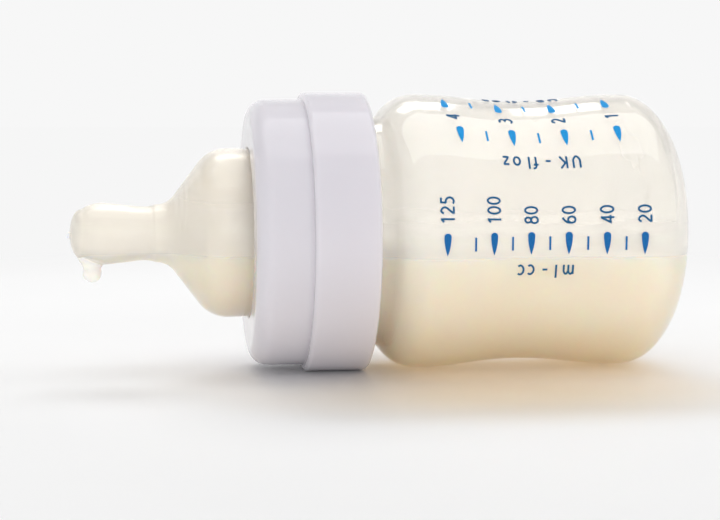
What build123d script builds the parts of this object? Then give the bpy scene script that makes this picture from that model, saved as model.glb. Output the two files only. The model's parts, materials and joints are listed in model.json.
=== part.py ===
from build123d import *
from math import acos, asin, cos, degrees, radians, sin
import os

# A 125 ml wide-neck baby bottle lying on its side: waisted clear bottle, screw ring in two steps,
# silicone teat and printed scales, with the milk that stands level in it and a drip on the nipple.
# +X points to the base, -X to the teat, +Z up. The floor is z = 0 under the middle of the bottle.
# Heights are counted along the bottle's axis from its base, as if it stood upright.

total_length = 134.8
ring_radius = 31.0
axis_height = ring_radius
x_base = total_length / 2

# bottle
wall = 1.6
bulge_radius = 30.7
waist_radius = 29.1
lower_bulge_height = 11.5
waist_height = 35.6
upper_bulge_height = 58.4
side_corner = 8.8
base_corner = 18.0
corner_turn = 45.0
shoulder_curve = 9.5
neck_curve = 3.0
neck_radius = 25.2
rim_height = 92.2
dish_radius = 12.5
dish_depth = 1.0

# screw ring
ring_tail_height = 69.85
ring_step_height = 83.9
ring_front_height = 95.8
ring_seat_height = 93.8
ring_step_radius = 29.5
ring_bore_radius = 27.1
ring_skirt_radius = 28.9
ring_hole_radius = 18.9
ring_skirt_depth = 1.5
ring_corners = [0.6, 4.0, 0.15, 0.9, 0.9, 0.3, 0.3, 0.3, 0.5, 0.3]

# thread pair, one right-hand start
thread_pitch = 5.0
thread_turns = 1.5
thread_depth = 1.5
thread_root = 2.4
thread_crest = 1.2
thread_bury = 0.3
neck_thread_height = 82.5
ring_thread_height = 80.3

# teat
flange_radius = 26.4
teat_foot_radius = 18.5
dome_radius = 18.75
dome_height = 100.2
dome_curve = 8.1
cone_slope = 53.3
nipple_foot_curve = 5.0
nipple_foot_radius = 6.4
nipple_waist = (119.0, 5.95)
nipple_bulb = (128.3, 6.8)
nipple_shoulder = (132.4, 5.4)
teat_wall = 1.2
flow_hole_radius = 0.4
valve_radius = 23.0
valve_wall = 0.8
valve_foot_height = 88.5
valve_top_height = 93.4
flow_hole_depth = 7.2
tip_thinning = 0.7
foot_lean = (-1, 0.1)

# milk
milk_level = axis_height - 4.0
milk_gap = 0.1
milk_join_height = 88.3
milk_join_gap = 0.2
drip_height = 130.0
drip_radius = 1.95
drip_length = 3.9
drip_round = 110.0
drip_neck_radius = 2.05
drip_neck_rise = 5.46
drip_lean = (0.6, 1)

# printed scales: where a volume stands on the wall, and the sizes of marks, numbers and words
ink_gap = 0.02
ink_thickness = 0.12
print_lift = 1.0
print_reach = 8.0
zero_mark = 5.5
mm_per_ml = 0.4056
uk_ounce = 28.413
us_ounce = 29.574
ml_numbers = (125, 100, 80, 60, 40, 20)
ml_ticks = (110, 90, 70, 50, 30)
ounces = (4, 3, 2, 1)
half_ounces = (3.5, 2.5, 1.5)
pen = 0.42
number_size = 3.0
word_size = 2.9
number_spacing = 1.15
word_spacing = 1.4
drop_length = 4.8
drop_width = 1.55
drop_cheek = (0.1, 0.36)
tick_length = 2.9
word_height = 35.0

# angles round the bottle, up from the horizontal on the side of the scales
ml_word_angle = -13.8
ml_mark_angle = -1.8
ml_number_start = 6.3
uk_word_angle = 33.1
uk_mark_angle = 46.4
ounce_number_angle = 57.8
us_mark_angle = 69.4
us_word_angle = 84.0

# Each character on a body 1 high: its width, then its strokes as lines, curves through points
# or rings given by centre and half sizes.
characters = {
    "0": (0.60, [("ring", (0.30, 0.50), (0.23, 0.44))]),
    "1": (0.60, [("line", (0.14, 0.76), (0.33, 0.93)), ("line", (0.35, 0), (0.35, 0.98))]),
    "2": (0.60, [("curve", (0.08, 0.76), (0.29, 0.95), (0.49, 0.72), (0.33, 0.39), (0.07, 0.06)),
                 ("line", (0.05, 0.05), (0.55, 0.05))]),
    "3": (0.60, [("curve", (0.10, 0.87), (0.30, 0.95), (0.47, 0.75), (0.25, 0.54)),
                 ("curve", (0.24, 0.53), (0.52, 0.29), (0.29, 0.04), (0.07, 0.11))]),
    "4": (0.60, [("line", (0.42, 0), (0.42, 0.96)), ("line", (0.40, 0.92), (0.07, 0.28), (0.57, 0.28))]),
    "5": (0.60, [("line", (0.50, 0.94), (0.16, 0.94), (0.13, 0.57)),
                 ("curve", (0.12, 0.56), (0.38, 0.56), (0.51, 0.30), (0.33, 0.05), (0.08, 0.10))]),
    "6": (0.60, [("curve", (0.46, 0.95), (0.21, 0.77), (0.08, 0.42)), ("ring", (0.30, 0.31), (0.22, 0.26))]),
    "8": (0.60, [("ring", (0.30, 0.74), (0.18, 0.21)), ("ring", (0.30, 0.28), (0.22, 0.24))]),
    "m": (0.86, [("line", (0.08, 0), (0.08, 0.70)),
                 ("curve", (0.08, 0.50), (0.26, 0.69), (0.42, 0.46)), ("line", (0.42, 0.48), (0.42, 0)),
                 ("curve", (0.43, 0.49), (0.60, 0.69), (0.76, 0.46)), ("line", (0.76, 0.48), (0.76, 0))]),
    "l": (0.26, [("line", (0.12, 0), (0.12, 1.0))]),
    "c": (0.54, [("curve", (0.50, 0.62), (0.30, 0.69), (0.09, 0.35), (0.30, 0.02), (0.50, 0.09))]),
    "f": (0.40, [("curve", (0.40, 0.97), (0.24, 0.93), (0.17, 0.70)), ("line", (0.17, 0.72), (0.17, 0)),
                 ("line", (0, 0.66), (0.36, 0.66))]),
    "o": (0.62, [("ring", (0.31, 0.36), (0.23, 0.33))]),
    "z": (0.52, [("line", (0.06, 0.66), (0.46, 0.66)), ("line", (0.44, 0.64), (0.08, 0.06)),
                 ("line", (0.05, 0.04), (0.48, 0.04))]),
    "U": (0.70, [("line", (0.10, 1.0), (0.10, 0.32)), ("curve", (0.10, 0.34), (0.35, 0.03), (0.60, 0.34)),
                 ("line", (0.60, 0.32), (0.60, 1.0))]),
    "K": (0.64, [("line", (0.10, 0), (0.10, 1.0)), ("line", (0.56, 1.0), (0.14, 0.47)),
                 ("line", (0.22, 0.55), (0.60, 0))]),
    "S": (0.60, [("curve", (0.50, 0.86), (0.31, 0.95), (0.12, 0.76), (0.31, 0.52), (0.51, 0.26),
                  (0.30, 0.04), (0.08, 0.13))]),
    "-": (0.44, [("line", (0.04, 0.36), (0.40, 0.36))]),
    " ": (0.26, []),
}


def x_at(height):
    """X of a point at this height above the base."""
    return x_base - height


side = Plane(origin=(0, 0, axis_height), x_dir=(1, 0, 0), z_dir=(0, -1, 0))
bottle_axis = Axis((0, 0, axis_height), (1, 0, 0))


def bottle_outline(inset, top):
    """Half outline of the bottle, from the middle of its base to its neck, moved in by inset."""
    turn = radians(corner_turn)
    side_centre = (x_at(lower_bulge_height), bulge_radius - side_corner)
    shift = side_corner - base_corner
    base_centre = (side_centre[0] + shift * cos(turn), side_centre[1] + shift * sin(turn))
    flat_x = base_centre[0] + base_corner - inset
    dish_curve = (dish_radius**2 + dish_depth**2) / (2 * dish_depth)
    dish_x = base_centre[0] + base_corner - dish_depth + dish_curve
    dish_turn = degrees(acos((dish_x - flat_x) / (dish_curve + inset)))
    neck = neck_radius - inset
    shoulder_y = bulge_radius - shoulder_curve
    shoulder_x = x_at(upper_bulge_height)
    foot_y = neck_radius + neck_curve
    between = shoulder_curve + neck_curve
    shoulder_turn = degrees(acos((foot_y - shoulder_y) / between))
    foot_x = shoulder_x - between * sin(radians(shoulder_turn))

    dish = CenterArc((dish_x, 0), dish_curve + inset, 180, -dish_turn)
    lower = CenterArc(base_centre, base_corner - inset, 0, corner_turn)
    Line(dish @ 1, lower @ 0)
    upper = CenterArc(side_centre, side_corner - inset, corner_turn, 90 - corner_turn)
    for bulge_height, way in ((lower_bulge_height, -1), (upper_bulge_height, 1)):
        span = abs(waist_height - bulge_height)
        dip = bulge_radius - waist_radius
        curve = (span**2 + dip**2) / (4 * dip)
        half_turn = degrees(asin(span / (2 * curve)))
        bulge_centre = (x_at(bulge_height), bulge_radius - curve)
        waist_centre = (x_at(waist_height), waist_radius + curve)
        CenterArc(bulge_centre, curve - inset, 90, -way * half_turn)
        CenterArc(waist_centre, curve + inset, 270, -way * half_turn)
    CenterArc((shoulder_x, shoulder_y), shoulder_curve - inset, 90, shoulder_turn)
    neck_foot = CenterArc((foot_x, foot_y), neck_curve + inset, 270, shoulder_turn)
    Polyline(neck_foot @ 0, (x_at(top), neck), (x_at(top), 0), dish @ 0)


def teat_outline(inset, foot):
    """Half outline of the teat's dome and nipple down to the foot height, moved in by inset."""
    slope = radians(cone_slope)
    dome_y = dome_radius - dome_curve
    foot_y = nipple_foot_radius + nipple_foot_curve
    top_of_cone = dome_y + dome_curve * cos(slope)
    foot_of_cone = foot_y - nipple_foot_curve * cos(slope)
    cone_length = (top_of_cone - foot_of_cone) / sin(slope)
    nipple_start = dome_height + (dome_curve + nipple_foot_curve) * sin(slope) + cone_length * cos(slope)
    tip = (x_at(total_length - inset), 0)
    nipple = [(x_at(height - inset / 2), radius - inset) for height, radius in (nipple_waist, nipple_bulb)]
    thinning = tip_thinning * inset
    shoulder = (x_at(nipple_shoulder[0] - thinning), nipple_shoulder[1] - thinning)

    dome = CenterArc((x_at(dome_height), dome_y), dome_curve - inset, 90, cone_slope)
    foot_curve = nipple_foot_curve + inset
    below = CenterArc((x_at(nipple_start), foot_y), foot_curve, 270, cone_slope)
    Line(dome @ 1, below @ 1)
    Spline(below @ 0, *nipple, shoulder, tip, tangents=((-1, 0), (0, -1)))
    side_foot = (x_at(foot), teat_foot_radius - inset)
    Spline(side_foot, dome @ 0, tangents=(foot_lean, (-1, 0)))
    Polyline(side_foot, (x_at(foot), 0), tip)


def thread_plane(height):
    """Plane through the axis at the start of a thread, its first direction out from the axis."""
    return Plane(origin=(x_at(height), 0, axis_height), x_dir=(0, 0, -1), z_dir=(0, -1, 0))


def thread_profile(radius, outward):
    """Trapezium of the thread on its plane, its root buried in the wall."""
    root = radius - outward * thread_bury
    crest = radius + outward * thread_depth
    Polyline(
        (root, -thread_root / 2),
        (crest, -thread_crest / 2),
        (crest, thread_crest / 2),
        (root, thread_root / 2),
        close=True,
    )


def helix_at(height, radius):
    """Right-hand helix of the thread, climbing from this height towards the mouth."""
    foot = (x_at(height), 0, axis_height)
    return Helix(thread_pitch, thread_pitch * thread_turns, radius, foot, (-1, 0, 0))


def mark_height(volume):
    """Height on the bottle of the mark for a volume in ml."""
    return zero_mark + mm_per_ml * volume


def outward(angle):
    """Direction out of the bottle at an angle round it."""
    return Vector(0, -cos(radians(angle)), sin(radians(angle)))


def upright_plane(height, angle):
    """Plane over the wall for print that reads upright when the bottle stands."""
    centre = Vector(x_at(height), 0, axis_height) + outward(angle) * (bulge_radius + print_lift)
    return Plane(origin=centre, x_dir=outward(angle + 90), z_dir=outward(angle))


def sideways_plane(height, angle):
    """Plane over the wall for words that read up the bottle."""
    centre = Vector(x_at(height), 0, axis_height) + outward(angle) * (bulge_radius + print_lift)
    return Plane(origin=centre, x_dir=(-1, 0, 0), z_dir=outward(angle))


def write(text, size, spacing):
    """Pen strokes of a word, centred on its plane."""
    widths = [characters[letter][0] * spacing * size for letter in text]
    left = -sum(widths) / 2
    for letter, width in zip(text, widths):
        for kind, *points in characters[letter][1]:
            with BuildLine() as stroke:
                if kind == "ring":
                    (u, v), (half_wide, half_high) = points
                    centre = (left + u * size, (v - 0.5) * size)
                    EllipticalCenterArc(centre, half_wide * size, half_high * size, 90, arc_size=180)
                    EllipticalCenterArc(centre, half_wide * size, half_high * size, 270, arc_size=180)
                elif kind == "line":
                    Polyline(*[(left + u * size, (v - 0.5) * size) for u, v in points])
                else:
                    Spline(*[(left + u * size, (v - 0.5) * size) for u, v in points])
            trace(stroke.line, line_width=pen)
        left += width


def drop_outline(way):
    """Pointed drop along the plane's first direction, its round end towards way."""
    round_centre = way * (drop_length - drop_width) / 2
    tip = (-way * drop_length / 2, 0)
    cheek = (-way * drop_length * drop_cheek[0], drop_width * drop_cheek[1])
    side_points = [cheek, (round_centre, drop_width / 2)]
    Spline(tip, *side_points)
    CenterArc((round_centre, 0), drop_width / 2, 90, -180 * way)
    Spline(tip, *[(x, -y) for x, y in side_points])


# bottle_body: clear blow-moulded bottle with its neck thread

with BuildPart() as bottle_body:
    with BuildSketch(side):
        with BuildLine():
            bottle_outline(0, rim_height)
        make_face()
        with BuildLine():
            bottle_outline(wall, rim_height)
        make_face(mode=Mode.SUBTRACT)
    revolve(axis=bottle_axis)
    with BuildLine() as neck_helix:
        add(helix_at(neck_thread_height, neck_radius))
    with BuildSketch(thread_plane(neck_thread_height)):
        with BuildLine():
            thread_profile(neck_radius, 1)
        make_face()
    sweep(path=neck_helix.line, is_frenet=True)

bottle_body.part.label = "bottle_body"


# screw_ring: white ring in two steps, hollow, with its thread inside

with BuildPart() as screw_ring:
    with BuildSketch(side):
        with BuildLine():
            FilletPolyline(
                (x_at(ring_front_height), ring_hole_radius),
                (x_at(ring_front_height), ring_step_radius),
                (x_at(ring_step_height), ring_step_radius),
                (x_at(ring_step_height), ring_radius),
                (x_at(ring_tail_height), ring_radius),
                (x_at(ring_tail_height), ring_skirt_radius),
                (x_at(ring_tail_height + ring_skirt_depth), ring_skirt_radius),
                (x_at(ring_tail_height + 2 * ring_skirt_depth), ring_bore_radius),
                (x_at(ring_seat_height), ring_bore_radius),
                (x_at(ring_seat_height), ring_hole_radius),
                radius=ring_corners,
                close=True,
            )
        make_face()
    revolve(axis=bottle_axis)
    with BuildLine() as ring_helix:
        add(helix_at(ring_thread_height, ring_bore_radius))
    with BuildSketch(thread_plane(ring_thread_height)):
        with BuildLine():
            thread_profile(ring_bore_radius, -1)
        make_face()
    sweep(path=ring_helix.line, is_frenet=True)

screw_ring.part.label = "screw_ring"


# teat: dome and nipple with a flow hole, clamped flange and the skirt of the vent valve

with BuildPart() as teat:
    with BuildSketch(side):
        with BuildLine():
            teat_outline(0, rim_height)
        make_face()
        with Locations((x_at((rim_height + ring_seat_height) / 2), flange_radius / 2)):
            Rectangle(ring_seat_height - rim_height, flange_radius)
        with BuildLine():
            teat_outline(teat_wall, rim_height)
        make_face(mode=Mode.SUBTRACT)
        with Locations((x_at((valve_foot_height + valve_top_height) / 2), valve_radius - valve_wall / 2)):
            Rectangle(valve_top_height - valve_foot_height, valve_wall)
        with Locations((x_at(total_length), 0)):
            Rectangle(flow_hole_depth, 2 * flow_hole_radius, mode=Mode.SUBTRACT)
    revolve(axis=bottle_axis)

teat.part.label = "teat"


# milk: level in the bottle and in the teat, and a drip under the nipple

with BuildPart() as milk_in_bottle:
    with BuildSketch(side):
        with BuildLine():
            bottle_outline(wall + milk_gap, milk_join_height - milk_join_gap)
        make_face()
    revolve(axis=bottle_axis)
    split(bisect_by=Plane.XY.offset(milk_level), keep=Keep.BOTTOM)

milk_in_bottle.part.label = "milk_in_bottle"

valve_bore = valve_radius - valve_wall - milk_gap

with BuildPart() as milk_in_teat:
    with BuildSketch(side):
        with BuildLine():
            teat_outline(teat_wall + milk_gap, rim_height)
        make_face()
        with Locations((x_at((milk_join_height + rim_height) / 2), valve_bore / 2)):
            Rectangle(rim_height - milk_join_height, valve_bore)
    revolve(axis=bottle_axis)
    split(bisect_by=Plane.XY.offset(milk_level), keep=Keep.BOTTOM)

milk_in_teat.part.label = "milk_in_teat"

with BuildPart() as teat_envelope:
    with BuildSketch(side):
        with BuildLine():
            teat_outline(0, rim_height)
        make_face()
    revolve(axis=bottle_axis)

drip_plane = Plane(origin=(x_at(drip_height), 0, 0), x_dir=(1, 0, 0), z_dir=(0, -1, 0))
drip_foot = axis_height - nipple_bulb[1] - drip_length

with BuildPart() as milk_drip:
    with BuildSketch(drip_plane):
        with BuildLine():
            bulb = CenterArc((0, drip_foot + drip_radius), drip_radius, -90, drip_round)
            neck = Spline(
                bulb @ 1,
                (drip_neck_radius, drip_foot + drip_neck_rise),
                tangents=(bulb % 1, drip_lean),
            )
            Polyline(neck @ 1, (0, drip_foot + drip_neck_rise), (0, drip_foot))
        make_face()
    revolve(axis=Axis((x_at(drip_height), 0, 0), (0, 0, 1)))
    add(teat_envelope.part, mode=Mode.SUBTRACT)

milk_drip.part.label = "milk_drip"


# printed scales: every print is cut out of one thin skin over the waist

with BuildPart() as ink_skin:
    with BuildSketch(side):
        with BuildLine():
            bottle_outline(-ink_gap - ink_thickness, rim_height)
        make_face()
        with BuildLine():
            bottle_outline(-ink_gap, rim_height)
        make_face(mode=Mode.SUBTRACT)
        with Locations((x_at((lower_bulge_height + upper_bulge_height) / 2), 0)):
            Rectangle(upper_bulge_height - lower_bulge_height, total_length, mode=Mode.INTERSECT)
    revolve(axis=bottle_axis)

with BuildPart() as ml_scale_marks:
    for volume in ml_numbers:
        with BuildSketch(upright_plane(mark_height(volume), ml_mark_angle)):
            with BuildLine():
                drop_outline(1)
            make_face()
        extrude(amount=-print_reach)
    for volume in ml_ticks:
        with BuildSketch(upright_plane(mark_height(volume), ml_mark_angle)):
            Rectangle(tick_length, pen)
        extrude(amount=-print_reach)
    add(ink_skin.part, mode=Mode.INTERSECT)

ml_scale_marks.part.label = "ml_scale_marks"

with BuildPart() as ml_scale_numbers:
    for volume in ml_numbers:
        number = str(volume)
        half_width = len(number) * characters["0"][0] * number_spacing * number_size / 2
        angle = ml_number_start + degrees(half_width / bulge_radius)
        with BuildSketch(upright_plane(mark_height(volume), angle)):
            write(number, number_size, number_spacing)
        extrude(amount=-print_reach)
    add(ink_skin.part, mode=Mode.INTERSECT)

ml_scale_numbers.part.label = "ml_scale_numbers"

with BuildPart() as ml_unit_words:
    with BuildSketch(sideways_plane(word_height, ml_word_angle)):
        write("ml - cc", word_size, word_spacing)
    extrude(amount=-print_reach)
    add(ink_skin.part, mode=Mode.INTERSECT)

ml_unit_words.part.label = "ml_unit_words"

with BuildPart() as fl_oz_numbers:
    for count in ounces:
        with BuildSketch(upright_plane(mark_height(count * (uk_ounce + us_ounce) / 2), ounce_number_angle)):
            write(str(count), number_size, number_spacing)
        extrude(amount=-print_reach)
    add(ink_skin.part, mode=Mode.INTERSECT)

fl_oz_numbers.part.label = "fl_oz_numbers"

with BuildPart() as uk_fl_oz_marks:
    for count in ounces:
        with BuildSketch(upright_plane(mark_height(count * uk_ounce), uk_mark_angle)):
            with BuildLine():
                drop_outline(1)
            make_face()
        extrude(amount=-print_reach)
    for count in half_ounces:
        with BuildSketch(upright_plane(mark_height(count * uk_ounce), uk_mark_angle)):
            Rectangle(tick_length, pen)
        extrude(amount=-print_reach)
    add(ink_skin.part, mode=Mode.INTERSECT)

uk_fl_oz_marks.part.label = "uk_fl_oz_marks"

with BuildPart() as uk_fl_oz_words:
    with BuildSketch(sideways_plane(word_height, uk_word_angle)):
        write("UK - fl oz", word_size, word_spacing)
    extrude(amount=-print_reach)
    add(ink_skin.part, mode=Mode.INTERSECT)

uk_fl_oz_words.part.label = "uk_fl_oz_words"

with BuildPart() as us_fl_oz_marks:
    for count in ounces:
        with BuildSketch(upright_plane(mark_height(count * us_ounce), us_mark_angle)):
            with BuildLine():
                drop_outline(-1)
            make_face()
        extrude(amount=-print_reach)
    for count in half_ounces:
        with BuildSketch(upright_plane(mark_height(count * us_ounce), us_mark_angle)):
            Rectangle(tick_length, pen)
        extrude(amount=-print_reach)
    add(ink_skin.part, mode=Mode.INTERSECT)

us_fl_oz_marks.part.label = "us_fl_oz_marks"

with BuildPart() as us_fl_oz_words:
    with BuildSketch(sideways_plane(word_height, us_word_angle)):
        write("US - fl oz", word_size, word_spacing)
    extrude(amount=-print_reach)
    add(ink_skin.part, mode=Mode.INTERSECT)

us_fl_oz_words.part.label = "us_fl_oz_words"


pieces = (
    bottle_body,
    screw_ring,
    teat,
    milk_in_bottle,
    milk_in_teat,
    milk_drip,
    ml_scale_marks,
    ml_scale_numbers,
    ml_unit_words,
    fl_oz_numbers,
    uk_fl_oz_marks,
    uk_fl_oz_words,
    us_fl_oz_marks,
    us_fl_oz_words,
)
os.makedirs("parts", exist_ok=True)
for piece in pieces:
    export_step(piece.part, f"parts/{piece.part.label}.step")
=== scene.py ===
import json
import math

import bmesh
import bpy
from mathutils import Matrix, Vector


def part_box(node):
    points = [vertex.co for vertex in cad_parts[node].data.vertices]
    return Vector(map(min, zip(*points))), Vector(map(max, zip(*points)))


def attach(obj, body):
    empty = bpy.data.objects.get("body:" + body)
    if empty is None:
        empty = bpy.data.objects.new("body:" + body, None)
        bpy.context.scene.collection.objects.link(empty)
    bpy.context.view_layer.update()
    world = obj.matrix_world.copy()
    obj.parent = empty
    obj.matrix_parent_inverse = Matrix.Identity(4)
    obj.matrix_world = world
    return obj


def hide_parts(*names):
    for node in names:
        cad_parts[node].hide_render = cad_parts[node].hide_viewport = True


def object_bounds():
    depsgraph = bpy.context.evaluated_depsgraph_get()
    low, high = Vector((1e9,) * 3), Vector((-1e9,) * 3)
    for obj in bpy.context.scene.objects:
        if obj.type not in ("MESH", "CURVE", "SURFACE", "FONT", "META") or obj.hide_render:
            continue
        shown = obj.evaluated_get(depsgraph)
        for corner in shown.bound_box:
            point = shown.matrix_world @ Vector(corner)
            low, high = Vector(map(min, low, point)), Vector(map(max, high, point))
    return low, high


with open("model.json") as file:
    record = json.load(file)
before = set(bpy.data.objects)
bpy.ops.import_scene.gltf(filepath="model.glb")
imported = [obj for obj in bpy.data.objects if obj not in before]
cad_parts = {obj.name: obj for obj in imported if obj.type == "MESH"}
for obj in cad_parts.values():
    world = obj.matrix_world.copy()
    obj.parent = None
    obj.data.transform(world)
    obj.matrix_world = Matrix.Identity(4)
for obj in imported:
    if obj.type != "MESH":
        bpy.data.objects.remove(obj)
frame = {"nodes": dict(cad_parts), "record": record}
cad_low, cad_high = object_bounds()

# A baby bottle lying on a pale floor with milk in it. The bottle, the ring and the prints are the CAD
# nodes with finished materials. The teat and the milk are built here as finer meshes of the same size.
# Lengths are metres, and MM turns millimetres into metres. Outlines are in millimetres: a height along
# the bottle's axis from its base, counted as negative x towards the teat, and a radius.

MM = 0.001

ring_low, ring_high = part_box("screw_ring")
bottle_low, bottle_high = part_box("bottle_body")
teat_low, teat_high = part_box("teat")
AXIS_Z = (ring_low.z + ring_high.z) / 2
BASE_X = bottle_high.x
TIP_X = teat_low.x

# bottle
WALL = 1.6
BULGE, WAIST = 30.7, 29.1
LOWER_BULGE, WAIST_HEIGHT, UPPER_BULGE = 11.5, 35.6, 58.4
SIDE_CORNER, BASE_CORNER, CORNER_TURN = 8.8, 18.0, 45
SHOULDER = 9.5
NECK, NECK_CURVE = 25.2, 3.0
DISH_RADIUS, DISH_DEPTH = 12.5, 1.0
RIM = (BASE_X - bottle_low.x) / MM

# teat: the nipple's waist, bulb and shoulder are each a height and a radius
TEAT_WALL = 1.2
TEAT_FOOT, DOME, DOME_HEIGHT, DOME_CURVE = 18.5, 18.75, 100.2, 8.1
FOOT_SWELL = 0.7
CONE_SLOPE = 53.3
NIPPLE_FOOT, NIPPLE_FOOT_CURVE = 6.4, 5.0
NIPPLE_WAIST, NIPPLE_BULB, NIPPLE_SHOULDER = (119.0, 5.95), (128.3, 6.8), (132.4, 5.4)
TIP_THINNING = 0.7
TOTAL = (BASE_X - TIP_X) / MM
FLOW_HOLE = 0.4
FLANGE_THICKNESS = 1.6
SEAT = RIM + FLANGE_THICKNESS
FLANGE = (teat_high.y - teat_low.y) / MM / 2
VALVE_FOOT, VALVE, VALVE_WALL = 88.5, 23.0, 0.8
RIBS_FROM, RIBS_TO, RIB_STEP, RIB_DEPTH = 107.5, 113.5, 1.1, 0.025
STEPS_PER_RIB = 8

# milk: BITE is how far a mesh of milk reaches into the wall, so that no air shows between them
MILK_LEVEL = AXIS_Z - 4.0 * MM
MILK_BITE, FILM_BITE = 0.05, 0.03
MILK_JOIN, JOIN_GAP, VALVE_GAP = 88.3, 0.2, 0.1
FILM_OVERLAP = 0.3 * MM
BOTTLE_FILM_TOP, TEAT_FILM_TOP = AXIS_Z + 5 * MM, AXIS_Z + 13 * MM
COAT_START, COAT_THICKNESS = 126.5, 0.3
BEAD_RADIUS, BEAD_DROP = 0.75, 0.3
DRIP_HEIGHT, DRIP_RADIUS, DRIP_LENGTH, DRIP_ROUND = 130.0, 2.1, 3.9, 125
DRIP_FLARE = [(3.2, 2.0), (4.0, 2.3), (4.9, 2.9), (5.9, 3.2)]
DRIP_VOXEL = 0.16 * MM

# colours, as linear red, green and blue
HAZE_COLOURS = (0.98, 0.97, 0.95), (0.995, 0.99, 0.975)
WHITE_COLOURS = (0.715, 0.69, 0.74), (0.745, 0.72, 0.765)
SILICONE_COLOURS = (0.96, 0.925, 0.86), (0.99, 0.97, 0.935)
DROP_COLOURS = (0.88, 0.85, 0.79), (0.93, 0.91, 0.87)
# the milk's colours at its top, middle and bottom: the darker, warmer bottom is painted shade
MILK_TOP, MILK_MIDDLE, MILK_BOTTOM = (1.0, 0.91, 0.79), (1.0, 0.88, 0.73), (1.0, 0.81, 0.56)
MILK_MIDDLE_SHARE = 0.45
FILM_COLOUR, FILM_TINT = (0.96, 0.95, 0.92), (1.0, 0.99, 0.97)
INK_COLOURS = {
    "deep_blue_ink": (0.006, 0.12, 0.36),
    "bright_blue_ink": (0.002, 0.26, 0.62),
    "blue_ink": (0.010, 0.095, 0.23),
}

# what a lamp's light takes on at each surface of a clear wall: above a height, and at the floor, where
# it has come through the milk as well
PLASTIC_TINT, PLASTIC_LOW_TINT, PLASTIC_LOW_HEIGHT = (0.95, 0.935, 0.905), (0.84, 0.70, 0.50), 22 * MM
SILICONE_TINT, SILICONE_LOW_TINT, SILICONE_LOW_HEIGHT = (0.95, 0.93, 0.90), (0.84, 0.72, 0.54), 30 * MM

PLASTIC_IOR, SILICONE_IOR, MILK_IOR = 1.49, 1.41, 1.35
NOISE_RANGE = (0.3, 0.7)

# radiances of the room behind the bottle, in front of it and overhead, and between which directions
# one passes into the next
BACK_LIGHT, FRONT_LIGHT, TOP_LIGHT = 0.93, 0.66, 0.46
FRONT_TO_BACK = (-0.5, 0.5)
SIDE_TO_TOP = (0.2, 0.6)

# the soft boxes: place, aim, width and depth, radiance, and whether gloss shows them
SOFT_BOXES = {
    "soft_box": ((0.1, 0.04, 0.8), (0.1, 0.04, 0), (1.3, 0.7), 1.05, True),
    "back_key": ((0.0, 0.8, 0.8), (0, 0, 0), (0.6, 0.3), 9.0, False),
    "low_fill": ((0.0, -0.75, 0.14), (0, 0, 0.01), (1.1, 0.24), 2.4, False),
}

# the floor takes light and shadow near the bottle and glows evenly far from it
FLOOR_RADIUS, FLOOR_SIDES = 6.0, 96
FLOOR_SHADE, SHADE_SPREAD = 0.84, 0.01
FLOOR_GLOW = 0.922
LIT_TO, GLOWS_FROM = 0.14, 0.34

# a shadow painted warm on the floor in front of the bottle, where light that has come through the milk
# falls: its tint, its middle and its half sizes, and where it fades, in shares of the half sizes
PAINTED_WARM_SHADOW = (0.79, 0.69, 0.56)
PAINTED_WARM_SHADOW_PLACE = ((bottle_low.x + bottle_high.x) / 2 + 2 * MM, -42 * MM, 0)
PAINTED_WARM_SHADOW_HALF = (64 * MM, 40 * MM)
PAINTED_WARM_SHADOW_FADE = (1.1, 0.1)

# the camera: degrees towards the teat and up, its distance, and the point that it aims at
CAMERA_AZIMUTH, CAMERA_ELEVATION, CAMERA_DISTANCE = -8.06, 4.75, 404.7 * MM
CAMERA_AIM = ((cad_low[0] + cad_high[0]) / 2 - 3.0 * MM, 0, AXIS_Z - 6.46 * MM)
LENS, SENSOR = 90, 36
CLIP_START = 0.01


# ---------------------------------------------------------------- geometry helpers

def link(name, mesh):
    """A new object on the scene, its faces shaded smooth."""
    obj = bpy.data.objects.new(name, mesh)
    bpy.context.scene.collection.objects.link(obj)
    mesh.polygons.foreach_set("use_smooth", [True] * len(mesh.polygons))
    return obj


def arc(centre, radius, start, turn, steps):
    """Points on an arc: angles in degrees, the first along the axis towards the base."""
    angles = [math.radians(start + turn * i / steps) for i in range(steps + 1)]
    return [(centre[0] + radius * math.cos(a), centre[1] + radius * math.sin(a)) for a in angles]


def straight(start, end, steps):
    """Points evenly spaced between two ends, which are left out."""
    shares = [i / steps for i in range(1, steps)]
    return [(start[0] + (end[0] - start[0]) * t, start[1] + (end[1] - start[1]) * t) for t in shares]


def catmull_rom(a, b, c, d, t):
    """The value at t, from 0 at b to 1 at c, on a smooth line through four values."""
    return 0.5 * (2 * b + (c - a) * t + (2 * a - 5 * b + 4 * c - d) * t**2 + (3 * b - a - 3 * c + d) * t**3)


def curve(points, steps):
    """A smooth line through the points, with this many steps between two of them."""
    ends = [points[0], *points, points[-1]]
    line = []
    for a, b, c, d in zip(ends, ends[1:], ends[2:], ends[3:]):
        for i in range(steps):
            line.append(tuple(catmull_rom(*values, i / steps) for values in zip(a, b, c, d)))
    return line + [points[-1]]


def circle(segments):
    """Cosine and sine at even steps round a full turn."""
    angles = [2 * math.pi * i / segments for i in range(segments)]
    return [(math.cos(a), math.sin(a)) for a in angles]


def skin(bm, rings, segments, closed=False):
    """Joins rings of points with faces. A ring of one point is a pole."""
    pairs = list(zip(rings, rings[1:]))
    if closed:
        pairs.append((rings[-1], rings[0]))
    for a, b in pairs:
        for i in range(segments):
            j = (i + 1) % segments
            if len(a) == 1 and len(b) == 1:
                continue
            if len(a) == 1:
                bm.faces.new((a[0], b[i], b[j]))
            elif len(b) == 1:
                bm.faces.new((a[i], b[0], a[j]))
            else:
                bm.faces.new((a[i], b[i], b[j], a[j]))


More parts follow.
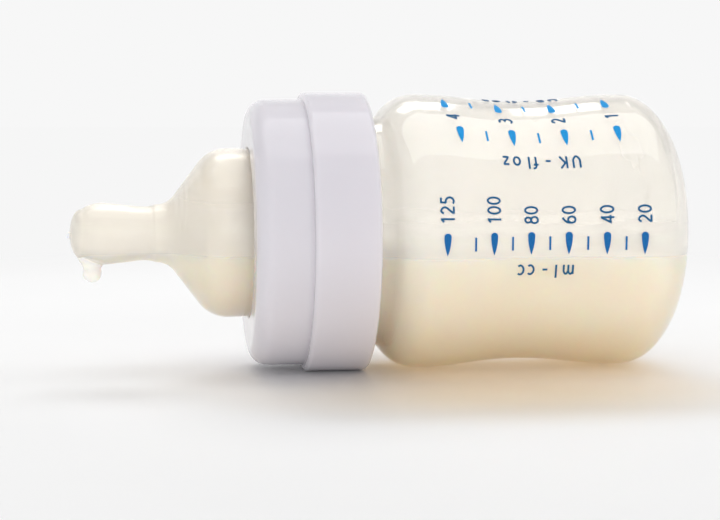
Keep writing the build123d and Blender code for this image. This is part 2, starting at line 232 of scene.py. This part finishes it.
def lathe(name, outline, segments=192, closed=False):
    """A surface of revolution about the bottle's axis. A radius of 0 closes it at a pole."""
    bm = bmesh.new()
    around = circle(segments)
    rings = []
    for x, radius in outline:
        along, out = BASE_X + x * MM, radius * MM
        if radius < 1e-6:
            rings.append([bm.verts.new((along, 0, AXIS_Z))])
        else:
            rings.append([bm.verts.new((along, out * c, AXIS_Z + out * s)) for c, s in around])
    skin(bm, rings, segments, closed)
    bmesh.ops.recalc_face_normals(bm, faces=bm.faces)
    mesh = bpy.data.meshes.new(name)
    bm.to_mesh(mesh)
    bm.free()
    return link(name, mesh)


def cut(bm, height, **side):
    """Cuts a mesh along a level and clears one side of it."""
    geometry = bm.verts[:] + bm.edges[:] + bm.faces[:]
    return bmesh.ops.bisect_plane(bm, geom=geometry, plane_co=(0, 0, height), plane_no=(0, 0, 1), **side)


def cut_level(obj, height):
    """Cuts a closed mesh off at a level and closes it with a flat top."""
    bm = bmesh.new()
    bm.from_mesh(obj.data)
    parts = cut(bm, height, clear_outer=True)
    rim = [part for part in parts["geom_cut"] if isinstance(part, bmesh.types.BMEdge)]
    bmesh.ops.contextual_create(bm, geom=rim)
    bmesh.ops.recalc_face_normals(bm, faces=bm.faces)
    bm.to_mesh(obj.data)
    bm.free()


def keep_above(obj, height):
    """Cuts away the part of a sheet that is below a height."""
    bm = bmesh.new()
    bm.from_mesh(obj.data)
    cut(bm, height, clear_inner=True)
    bm.to_mesh(obj.data)
    bm.free()


# ---------------------------------------------------------------- outlines, as in the CAD model

def side_line(inset):
    """The waisted side: an arc out of each bulge that meets an arc into the waist."""
    dip = BULGE - WAIST
    line = []
    for bulge_height, way in ((LOWER_BULGE, -1), (UPPER_BULGE, 1)):
        span = abs(WAIST_HEIGHT - bulge_height)
        bend = (span**2 + dip**2) / (4 * dip)
        half_turn = math.degrees(math.asin(span / (2 * bend)))
        bulge_arc = arc((-bulge_height, BULGE - bend), bend - inset, 90, -way * half_turn, steps=12)
        waist_arc = arc((-WAIST_HEIGHT, WAIST + bend), bend + inset, 270, -way * half_turn, steps=12)
        if way < 0:
            line += bulge_arc[1:] + waist_arc[::-1][1:]
        else:
            line += waist_arc[1:] + bulge_arc[::-1][1:]
    return line


def bottle_line(inset, top):
    """Half outline of the bottle from the middle of its base to its neck, moved in by inset."""
    turn = math.radians(CORNER_TURN)
    shift = SIDE_CORNER - BASE_CORNER
    side_centre = (-LOWER_BULGE, BULGE - SIDE_CORNER)
    base_centre = (side_centre[0] + shift * math.cos(turn), side_centre[1] + shift * math.sin(turn))
    dish_curve = (DISH_RADIUS**2 + DISH_DEPTH**2) / (2 * DISH_DEPTH)
    dish_x = dish_curve - DISH_DEPTH
    dish_turn = math.degrees(math.acos((dish_x + inset) / (dish_curve + inset)))
    shoulder_y = BULGE - SHOULDER
    neck_foot_y = NECK + NECK_CURVE
    between = SHOULDER + NECK_CURVE
    shoulder_turn = math.degrees(math.acos((neck_foot_y - shoulder_y) / between))
    neck_foot = (-UPPER_BULGE - between * math.sin(math.radians(shoulder_turn)), neck_foot_y)
    line = arc((dish_x, 0), dish_curve + inset, 180, -dish_turn, steps=12)
    line[0] = (line[0][0], 0)
    line += arc(base_centre, BASE_CORNER - inset, 0, CORNER_TURN, steps=16)
    line += arc(side_centre, SIDE_CORNER - inset, CORNER_TURN, 90 - CORNER_TURN, steps=16)[1:]
    line += side_line(inset)
    line += arc((-UPPER_BULGE, shoulder_y), SHOULDER - inset, 90, shoulder_turn, steps=20)[1:]
    line += arc(neck_foot, NECK_CURVE + inset, 270 + shoulder_turn, -shoulder_turn, steps=12)[1:]
    return line + [(-top, NECK - inset), (-top, 0)]


def add_ribs(line):
    """Fine rings round the cone: the line cut into short steps with a ripple that fades out at both ends."""
    ribbed = []
    for (xa, ya), (xb, yb) in zip(line, line[1:]):
        steps = max(1, math.ceil(math.hypot(xb - xa, yb - ya) / (RIB_STEP / STEPS_PER_RIB)))
        for i in range(steps):
            x, y = xa + (xb - xa) * i / steps, ya + (yb - ya) * i / steps
            share = (-x - RIBS_FROM) / (RIBS_TO - RIBS_FROM)
            fade = math.sin(math.pi * share) if 0 < share < 1 else 0
            ribbed.append((x, y + fade * RIB_DEPTH * math.sin(2 * math.pi * -x / RIB_STEP)))
    return ribbed + [line[-1]]


def tip_line(start, end, steps):
    """A quarter of an ellipse from the nipple's shoulder to its tip on the axis."""
    angles = [math.radians(90 * i / steps) for i in range(1, steps)]
    return [(start[0] + (end[0] - start[0]) * math.sin(a), start[1] * math.cos(a)) for a in angles] + [end]


def teat_line(inset, foot, ribs=False):
    """Half outline of the teat from the foot height to its tip, moved in by inset."""
    slope = math.radians(CONE_SLOPE)
    dome_y = DOME - DOME_CURVE
    nipple_foot_y = NIPPLE_FOOT + NIPPLE_FOOT_CURVE
    top_of_cone = dome_y + DOME_CURVE * math.cos(slope)
    foot_of_cone = nipple_foot_y - NIPPLE_FOOT_CURVE * math.cos(slope)
    cone = (top_of_cone - foot_of_cone) / math.sin(slope)
    start = DOME_HEIGHT + (DOME_CURVE + NIPPLE_FOOT_CURVE) * math.sin(slope) + cone * math.cos(slope)
    half_way = (-(foot + DOME_HEIGHT) / 2, TEAT_FOOT + FOOT_SWELL * (DOME - TEAT_FOOT) - inset)
    line = curve([(-foot, TEAT_FOOT - inset), half_way, (-DOME_HEIGHT, DOME - inset)], steps=8)
    line += arc((-DOME_HEIGHT, dome_y), DOME_CURVE - inset, 90, CONE_SLOPE, steps=20)[1:]
    foot_centre, foot_curve = (-start, nipple_foot_y), NIPPLE_FOOT_CURVE + inset
    nipple_foot = arc(foot_centre, foot_curve, 270 + CONE_SLOPE, -CONE_SLOPE, steps=16)
    line += straight(line[-1], nipple_foot[0], steps=6)
    line += nipple_foot
    if ribs:
        line = add_ribs(line)
    nipple = [(-(height - inset / 2), radius - inset) for height, radius in (NIPPLE_WAIST, NIPPLE_BULB)]
    tip_inset = TIP_THINNING * inset
    shoulder = (-(NIPPLE_SHOULDER[0] - tip_inset), NIPPLE_SHOULDER[1] - tip_inset)
    line += curve([line[-1], *nipple, shoulder], steps=14)[1:]
    return line + tip_line(shoulder, (-(TOTAL - inset), 0), steps=14)


def drip_line():
    """Half outline of the drip from its lowest point up into the nipple: heights and radii in metres."""
    foot = AXIS_Z - (NIPPLE_BULB[1] + DRIP_LENGTH) * MM
    line = arc((foot + DRIP_RADIUS * MM, 0), DRIP_RADIUS * MM, 180, -DRIP_ROUND, steps=14)
    line += curve([line[-1], *[(foot + z * MM, radius * MM) for z, radius in DRIP_FLARE]], steps=6)[1:]
    return line + [(line[-1][0], 0)]


# ---------------------------------------------------------------- material helpers

def new_material(name):
    """A material with its node tree and its Principled shader."""
    material = bpy.data.materials.new(name)
    material.use_nodes = True
    tree = material.node_tree
    return material, tree, tree.nodes["Principled BSDF"]


def set_inputs(node, values):
    """Sets the sockets that have these names."""
    for name, value in values.items():
        node.inputs[name].default_value = value


def feed(tree, socket, value):
    """Gives a socket another node's output, a colour or a number."""
    if isinstance(value, bpy.types.NodeSocket):
        tree.links.new(value, socket)
    elif isinstance(value, tuple):
        socket.default_value = (*value, 1)
    else:
        socket.default_value = value


def object_place(tree):
    """The point on the object, in metres."""
    return tree.nodes.new("ShaderNodeTexCoord").outputs["Object"]


def object_height(tree):
    """The point's height, in metres."""
    split = tree.nodes.new("ShaderNodeSeparateXYZ")
    tree.links.new(object_place(tree), split.inputs["Vector"])
    return split.outputs["Z"]


def distance(tree, place):
    """How far a place is from the origin."""
    length = tree.nodes.new("ShaderNodeVectorMath")
    length.operation = "LENGTH"
    tree.links.new(place, length.inputs[0])
    return length.outputs["Value"]


def smooth_share(tree, value, start, end):
    """How far a value has come from start to end, 0 to 1, eased at both ends."""
    node = tree.nodes.new("ShaderNodeMapRange")
    node.interpolation_type = "SMOOTHSTEP"
    set_inputs(node, {"From Min": start, "From Max": end})
    tree.links.new(value, node.inputs["Value"])
    return node.outputs["Result"]


def add_noise(tree, scale, detail, stretch=(1, 1, 1)):
    """A noise on the object's own coordinates, with this many features to the metre."""
    mapping = tree.nodes.new("ShaderNodeMapping")
    mapping.inputs["Scale"].default_value = stretch
    tree.links.new(object_place(tree), mapping.inputs["Vector"])
    texture = tree.nodes.new("ShaderNodeTexNoise")
    set_inputs(texture, {"Scale": scale, "Detail": detail})
    tree.links.new(mapping.outputs["Vector"], texture.inputs["Vector"])
    return texture.outputs["Fac"]


def ramp(tree, share, low, high, positions=NOISE_RANGE):
    """A node that turns a share into a colour or a grey between low and high."""
    node = tree.nodes.new("ShaderNodeValToRGB")
    for element, position, value in zip(node.color_ramp.elements, positions, (low, high)):
        element.position = position
        element.color = (*value, 1) if isinstance(value, tuple) else (value, value, value, 1)
    tree.links.new(share, node.inputs["Fac"])
    return node


def vary(tree, shader, socket, noise, low, high):
    """Lets a noise move one of the shader's sockets between two numbers or two colours."""
    tree.links.new(ramp(tree, noise, low, high).outputs["Color"], shader.inputs[socket])


def add_bump(tree, shader, noise, strength, height):
    """Small relief from a noise."""
    bump = tree.nodes.new("ShaderNodeBump")
    set_inputs(bump, {"Strength": strength, "Distance": height})
    tree.links.new(noise, bump.inputs["Height"])
    tree.links.new(bump.outputs["Normal"], shader.inputs["Normal"])


def mix_numbers(tree, share, first, second):
    """The first number at a share of 0 and the second at 1."""
    node = tree.nodes.new("ShaderNodeMix")
    for name, value in (("Factor", share), ("A", first), ("B", second)):
        feed(tree, node.inputs[name], value)
    return node.outputs["Result"]


def mix_colours(tree, share, first, second, blend="MIX"):
    """The first colour at a share of 0, and the second, or the two blended, at 1."""
    node = tree.nodes.new("ShaderNodeMix")
    node.data_type = "RGBA"
    node.blend_type = blend
    for name, value in (("Factor", share), ("A", first), ("B", second)):
        feed(tree, node.inputs[name], value)
    return node.outputs["Result"]


def transparent(tree, colour):
    """A shader that lets light straight through, with this tint."""
    node = tree.nodes.new("ShaderNodeBsdfTransparent")
    feed(tree, node.inputs["Color"], colour)
    return node.outputs["BSDF"]


def set_surface(tree, share, first, second):
    """Makes the surface the first shader at a share of 0 and the second at 1."""
    mix = tree.nodes.new("ShaderNodeMixShader")
    tree.links.new(share, mix.inputs["Fac"])
    tree.links.new(first, mix.inputs[1])
    tree.links.new(second, mix.inputs[2])
    tree.links.new(mix.outputs["Shader"], tree.nodes["Material Output"].inputs["Surface"])


def let_lamps_through(tree, shader, tint, low_tint, low_height):
    """Lets light from lamps through a clear wall, so that what it holds is lit. Near the floor the light has
    come through the milk as well and takes its warm tint."""
    colour = mix_colours(tree, smooth_share(tree, object_height(tree), 0, low_height), low_tint, tint)
    shadow_ray = tree.nodes.new("ShaderNodeLightPath").outputs["Is Shadow Ray"]
    set_surface(tree, shadow_ray, shader.outputs["BSDF"], transparent(tree, colour))


# ---------------------------------------------------------------- materials

def clear_plastic():
    """Clear polypropylene with a trace of haze and soft moulding waves."""
    material, tree, shader = new_material("clear_plastic")
    set_inputs(shader, {"IOR": PLASTIC_IOR, "Transmission Weight": 0.84})
    haze = add_noise(tree, scale=60, detail=4, stretch=(0.5, 1, 1))
    vary(tree, shader, "Base Color", haze, *HAZE_COLOURS)
    vary(tree, shader, "Roughness", haze, low=0.02, high=0.07)
    waves = add_noise(tree, scale=45, detail=1, stretch=(0.4, 1, 1))
    add_bump(tree, shader, waves, strength=0.12, height=0.6 * MM)
    let_lamps_through(tree, shader, PLASTIC_TINT, PLASTIC_LOW_TINT, PLASTIC_LOW_HEIGHT)
    return material


def white_plastic():
    """Glossy white moulded polypropylene, a little cool, with a fine orange-peel skin."""
    material, tree, shader = new_material("white_plastic")
    set_inputs(shader, {
        "IOR": PLASTIC_IOR,
        "Subsurface Weight": 0.5,
        "Subsurface Radius": (1.0, 0.9, 0.9),
        "Subsurface Scale": 4 * MM,
    })
    flow = add_noise(tree, scale=30, detail=5, stretch=(0.25, 1, 1))
    vary(tree, shader, "Base Color", flow, *WHITE_COLOURS)
    smudge = add_noise(tree, scale=160, detail=4)
    vary(tree, shader, "Roughness", smudge, low=0.07, high=0.13)
    orange_peel = add_noise(tree, scale=900, detail=2)
    add_bump(tree, shader, orange_peel, strength=0.08, height=0.05 * MM)
    return material


def silicone():
    """Soft clear silicone, slightly milky."""
    material, tree, shader = new_material("silicone")
    set_inputs(shader, {"IOR": SILICONE_IOR, "Transmission Weight": 0.78})
    cloud = add_noise(tree, scale=90, detail=5)
    vary(tree, shader, "Base Color", cloud, *SILICONE_COLOURS)
    vary(tree, shader, "Roughness", cloud, low=0.10, high=0.24)
    fine_grain = add_noise(tree, scale=500, detail=3)
    add_bump(tree, shader, fine_grain, strength=0.10, height=0.1 * MM)
    let_lamps_through(tree, shader, SILICONE_TINT, SILICONE_LOW_TINT, SILICONE_LOW_HEIGHT)
    return material


def milk():
    """Milk: opaque and warm, with painted shade that makes it darker and warmer towards the bottom, and
    light going far into it.
    """
    material, tree, shader = new_material("milk")
    set_inputs(shader, {
        "IOR": MILK_IOR,
        "Subsurface Weight": 1.0,
        "Subsurface Radius": (1.0, 0.7, 0.42),
        "Subsurface Scale": 6 * MM,
    })
    height = tree.nodes.new("ShaderNodeMapRange")
    set_inputs(height, {"From Min": 0, "From Max": MILK_LEVEL})
    tree.links.new(object_height(tree), height.inputs["Value"])
    # painted shade: the milk's colour grows darker and warmer towards the bottom
    painted_shade = ramp(tree, height.outputs["Result"], MILK_BOTTOM, MILK_TOP, positions=(0, 1))
    painted_shade.color_ramp.elements.new(MILK_MIDDLE_SHARE).color = (*MILK_MIDDLE, 1)
    cloud = add_noise(tree, scale=35, detail=4, stretch=(0.6, 1, 1.6))
    soft = ramp(tree, cloud, 0.94, 1.0)
    colour = mix_colours(tree, 1, painted_shade.outputs["Color"], soft.outputs["Color"], blend="MULTIPLY")
    tree.links.new(colour, shader.inputs["Base Color"])
    vary(tree, shader, "Roughness", cloud, low=0.10, high=0.2)
    return material


def milk_film(name, clear_from, thin, thick):
    """Milk left on a wall: thickest at the milk's level, thinning out with height, in faint runs."""
    material, tree, shader = new_material(name)
    set_inputs(shader, {"Base Color": (*FILM_COLOUR, 1), "Roughness": 0.4})
    wet = smooth_share(tree, object_height(tree), clear_from, MILK_LEVEL)
    runs = ramp(tree, add_noise(tree, scale=45, detail=5, stretch=(1.2, 1, 0.4)), thin, thin + 0.1)
    share = mix_numbers(tree, wet, runs.outputs["Color"], thick)
    set_surface(tree, share, transparent(tree, FILM_TINT), shader.outputs["BSDF"])
    return material


def thin_milk():
    """The thin milk on the nipple's tip and in the drip: paler than the milk in the bottle."""
    material, tree, shader = new_material("milk_drop")
    set_inputs(shader, {
        "IOR": MILK_IOR,
        "Subsurface Weight": 1.0,
        "Subsurface Radius": (1.0, 0.8, 0.6),
        "Subsurface Scale": 3 * MM,
    })
    vary(tree, shader, "Base Color", add_noise(tree, scale=300, detail=4), *DROP_COLOURS)
    vary(tree, shader, "Roughness", add_noise(tree, scale=200, detail=3), low=0.12, high=0.25)
    return material


def ink(name, colour):
    """Printed ink: satin, a little uneven in density."""
    material, tree, shader = new_material(name)
    shader.inputs["Specular IOR Level"].default_value = 0.12
    grain = add_noise(tree, scale=2500, detail=3)
    paler = tuple(min(1, c * 1.25 + 0.012) for c in colour)
    vary(tree, shader, "Base Color", grain, colour, paler)
    vary(tree, shader, "Roughness", grain, low=0.3, high=0.45)
    return material


def pale_floor():
    """Matt near the bottle, with a warm shadow painted where light comes through the milk, and glowing
    evenly far from it, as a lit white sweep does."""
    material, tree, shader = new_material("pale_floor")
    set_inputs(shader, {"Roughness": 0.6, "Specular IOR Level": 0.1})
    darker, lighter = (FLOOR_SHADE - SHADE_SPREAD,) * 3, (FLOOR_SHADE + SHADE_SPREAD,) * 3
    shade = ramp(tree, add_noise(tree, scale=8, detail=4), darker, lighter)
    # painted shadow: the floor's colour is made darker and warmer in front of the bottle
    painted_shadow_place = tree.nodes.new("ShaderNodeMapping")
    painted_shadow_place.vector_type = "TEXTURE"
    set_inputs(painted_shadow_place, {"Location": PAINTED_WARM_SHADOW_PLACE, "Scale": (*PAINTED_WARM_SHADOW_HALF, 1)})
    tree.links.new(object_place(tree), painted_shadow_place.inputs["Vector"])
    warm = smooth_share(tree, distance(tree, painted_shadow_place.outputs["Vector"]), *PAINTED_WARM_SHADOW_FADE)
    colour = mix_colours(tree, warm, shade.outputs["Color"], PAINTED_WARM_SHADOW, blend="MULTIPLY")
    tree.links.new(colour, shader.inputs["Base Color"])
    glow = tree.nodes.new("ShaderNodeEmission")
    set_inputs(glow, {"Color": (1, 1, 1, 1), "Strength": FLOOR_GLOW})
    far = smooth_share(tree, distance(tree, object_place(tree)), LIT_TO, GLOWS_FROM)
    set_surface(tree, far, shader.outputs["BSDF"], glow.outputs["Emission"])
    return material


# ---------------------------------------------------------------- pieces

def build_teat():
    """The silicone teat: dome, nipple, flange and valve skirt, one closed wall with a flow hole."""
    outer = teat_line(0, SEAT, ribs=True)[:-1] + [(-TOTAL, FLOW_HOLE)]
    inner = teat_line(TEAT_WALL, RIM)[:-1] + [(-(TOTAL - TEAT_WALL), FLOW_HOLE)]
    flange = [(-SEAT, FLANGE), (-RIM, FLANGE)]
    valve_bore = VALVE - VALVE_WALL
    skirt = [(-RIM, VALVE), (-VALVE_FOOT, VALVE), (-VALVE_FOOT, valve_bore), (-RIM, valve_bore)]
    outline = [(x, max(radius, FLOW_HOLE)) for x, radius in outer[::-1] + flange + skirt + inner]
    teat = lathe("teat_silicone", outline, closed=True)
    teat.data.materials.append(silicone())
    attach(teat, "teat")
    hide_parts("teat")


def build_milk():
    """Milk lying level in the bottle, and in the dome and the nipple, its skin just inside the wall. It
    casts no shadow of its own: the walls tint the light that has come through it."""
    milk_in_valve = VALVE - VALVE_WALL - VALVE_GAP
    teat_inside = [(-MILK_JOIN, 0), (-MILK_JOIN, milk_in_valve), (-RIM, milk_in_valve)]
    teat_inside += teat_line(TEAT_WALL - MILK_BITE, RIM)
    in_bottle = lathe("milk_bottle", bottle_line(WALL - MILK_BITE, MILK_JOIN - JOIN_GAP))
    in_teat = lathe("milk_teat", teat_inside)
    cream = milk()
    for piece, body, node in ((in_bottle, "bottle", "milk_in_bottle"), (in_teat, "teat", "milk_in_teat")):
        cut_level(piece, MILK_LEVEL)
        piece.data.materials.append(cream)
        piece.visible_shadow = False
        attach(piece, body)
        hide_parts(node)


def build_films():
    """Thin milk left on the inside of the bottle and of the teat, above the level."""
    in_bottle = lathe("milk_film_bottle", bottle_line(WALL - FILM_BITE, MILK_JOIN)[:-1])
    in_bottle.data.materials.append(milk_film("bottle_film", BOTTLE_FILM_TOP, thin=0.16, thick=0.55))
    in_teat = lathe("milk_film_teat", teat_line(TEAT_WALL - FILM_BITE, RIM)[:-1])
    in_teat.data.materials.append(milk_film("teat_film", TEAT_FILM_TOP, thin=0.08, thick=0.6))
    for film, body in ((in_bottle, "bottle"), (in_teat, "teat")):
        keep_above(film, MILK_LEVEL - FILM_OVERLAP)
        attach(film, body)


def add_drip_and_bead(bm):
    """Adds the drip that hangs below the tip and the bead at the flow hole."""
    segments = 48
    below_tip = Vector((BASE_X - DRIP_HEIGHT * MM, 0, 0))
    rings = [
        [bm.verts.new(below_tip + Vector((radius * c, radius * s, z))) for c, s in circle(segments)]
        for z, radius in drip_line()
    ]
    skin(bm, rings, segments)
    bead = bmesh.ops.create_icosphere(bm, subdivisions=3, radius=BEAD_RADIUS * MM)
    bmesh.ops.translate(bm, verts=bead["verts"], vec=(TIP_X, 0, AXIS_Z - BEAD_DROP * MM))


def build_drip():
    """Milk on the nipple's tip: a thin coat, the bead and the drip, drawn together into one skin."""
    outer = [point for point in teat_line(-COAT_THICKNESS, SEAT) if point[0] < -COAT_START]
    inner = [point for point in teat_line(COAT_THICKNESS, SEAT) if point[0] < -COAT_START]
    coat = lathe("milk_drip_fine", outer + inner[::-1], segments=96)
    bm = bmesh.new()
    bm.from_mesh(coat.data)
    add_drip_and_bead(bm)
    bmesh.ops.remove_doubles(bm, verts=bm.verts[:], dist=1e-6)
    bmesh.ops.recalc_face_normals(bm, faces=bm.faces)
    bm.to_mesh(coat.data)
    bm.free()
    remesh = coat.modifiers.new("one_skin", "REMESH")
    remesh.mode = "VOXEL"
    remesh.voxel_size = DRIP_VOXEL
    remesh.use_smooth_shade = True
    smooth = coat.modifiers.new("surface_tension", "SMOOTH")
    smooth.factor = 0.5
    smooth.iterations = 10
    coat.data.materials.append(thin_milk())
    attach(coat, "teat")
    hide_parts("milk_drip")


def finish_cad_nodes():
    """The CAD nodes that are shown as they are get their finished materials."""
    finishes = {"clear_plastic": clear_plastic(), "white_plastic": white_plastic()}
    for name, colour in INK_COLOURS.items():
        finishes[name] = ink(name, colour)
    for part in frame["record"]["subparts"]:
        if part["material_slot"] in finishes:
            node = frame["nodes"][part["node"]]
            node.data.materials.clear()
            node.data.materials.append(finishes[part["material_slot"]])


# ---------------------------------------------------------------- stage, lights and camera

def build_stage():
    """A pale round floor."""
    bm = bmesh.new()
    bmesh.ops.create_circle(bm, cap_ends=True, segments=FLOOR_SIDES, radius=FLOOR_RADIUS)
    mesh = bpy.data.meshes.new("floor")
    bm.to_mesh(mesh)
    bm.free()
    floor = link("floor", mesh)
    floor.data.materials.append(pale_floor())


def add_soft_box(name, place, target, size, radiance, seen_in_gloss):
    """A rectangular soft box that faces the target and has this radiance."""
    light = bpy.data.lights.new(name, "AREA")
    light.shape = "RECTANGLE"
    light.size, light.size_y = size
    light.energy = radiance * math.pi * size[0] * size[1]
    obj = bpy.data.objects.new(name, light)
    obj.location = place
    obj.rotation_euler = (Vector(target) - Vector(place)).to_track_quat("-Z", "Y").to_euler()
    obj.visible_glossy = seen_in_gloss
    bpy.context.scene.collection.objects.link(obj)


def build_world():
    """The room: bright behind the bottle, dimmer in front of it and overhead."""
    world = bpy.data.worlds.new("studio")
    bpy.context.scene.world = world
    world.use_nodes = True
    tree = world.node_tree
    background = tree.nodes["Background"]
    background.inputs["Color"].default_value = (1, 1, 1, 1)
    direction = tree.nodes.new("ShaderNodeSeparateXYZ")
    tree.links.new(tree.nodes.new("ShaderNodeTexCoord").outputs["Generated"], direction.inputs["Vector"])
    behind = smooth_share(tree, direction.outputs["Y"], *FRONT_TO_BACK)
    overhead = smooth_share(tree, direction.outputs["Z"], *SIDE_TO_TOP)
    around = mix_numbers(tree, behind, FRONT_LIGHT, BACK_LIGHT)
    tree.links.new(mix_numbers(tree, overhead, around, TOP_LIGHT), background.inputs["Strength"])


def build_camera():
    """A long lens, in front of the bottle and a little above it."""
    azimuth, elevation = math.radians(CAMERA_AZIMUTH), math.radians(CAMERA_ELEVATION)
    back = Vector((
        math.sin(azimuth) * math.cos(elevation),
        -math.cos(azimuth) * math.cos(elevation),
        math.sin(elevation),
    ))
    data = bpy.data.cameras.new("camera")
    data.sensor_width = SENSOR
    data.lens = LENS
    data.clip_start = CLIP_START
    camera = bpy.data.objects.new("camera", data)
    camera.location = Vector(CAMERA_AIM) + back * CAMERA_DISTANCE
    camera.rotation_euler = (-back).to_track_quat("-Z", "Y").to_euler()
    bpy.context.scene.collection.objects.link(camera)
    bpy.context.scene.camera = camera


def main():
    bpy.context.scene.view_settings.view_transform = "Standard"
    finish_cad_nodes()
    build_teat()
    build_milk()
    build_films()
    build_drip()
    build_stage()
    build_world()
    for name, settings in SOFT_BOXES.items():
        add_soft_box(name, *settings)
    build_camera()


main()
